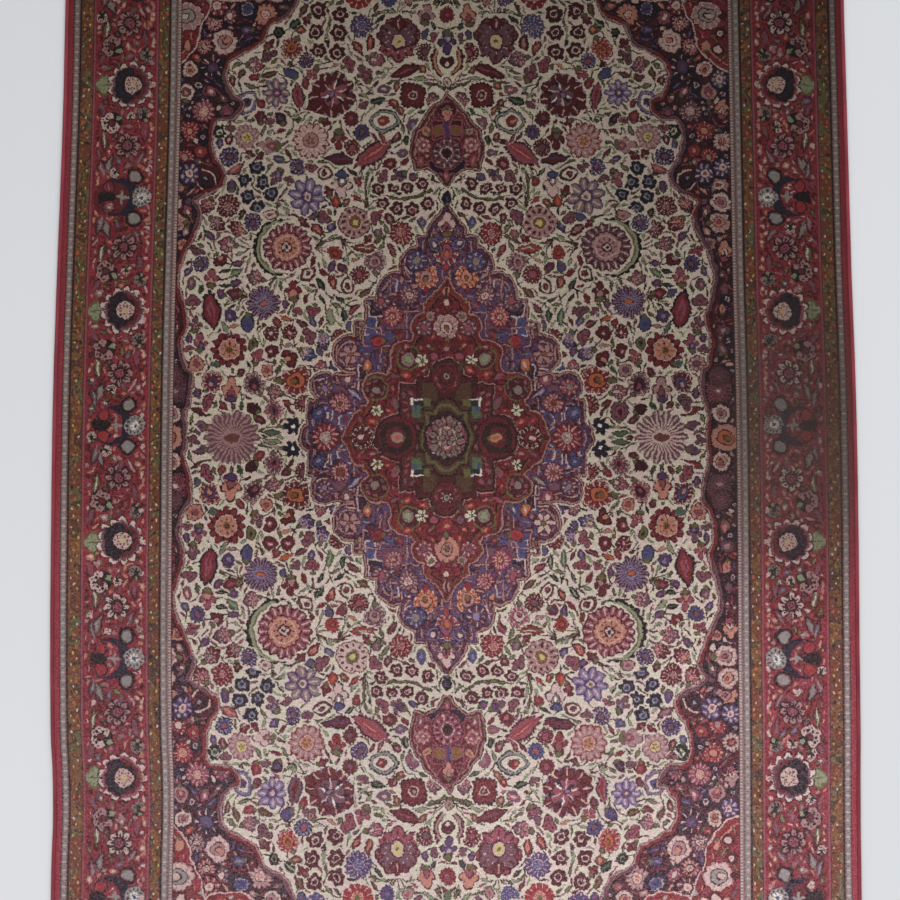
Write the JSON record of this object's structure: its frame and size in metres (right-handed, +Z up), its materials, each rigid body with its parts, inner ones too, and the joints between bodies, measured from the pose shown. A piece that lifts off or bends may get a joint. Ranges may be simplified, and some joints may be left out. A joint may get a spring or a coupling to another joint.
{
  "type": "persian rug",
  "caption": "Oblong hand-knotted medallion rug, lying flat, with wrapped side edges and fringed ends; a soft floor covering.",
  "frame": {"origin": "middle of the underside, on the floor", "axes": "+Y along the rug towards the end at the top of its picture, +X across it, +Z up out of the pile"},
  "size_m": [1.326, 2.2506, 0.006],
  "materials": {
    "pile": "short, dense knotted pile in crimson, ivory, navy and dusty rose",
    "selvedge": "crimson yarn wrapped tightly round the edge warps",
    "warp_cotton": "undyed cotton, flat-woven into a web and loose as a fringe"
  },
  "bodies": {
    "root": {"pile_body": "pile", "selvedge_left": "selvedge", "selvedge_right": "selvedge", "web_top": "warp_cotton", "web_bottom": "warp_cotton"}
  },
  "joints": []
}
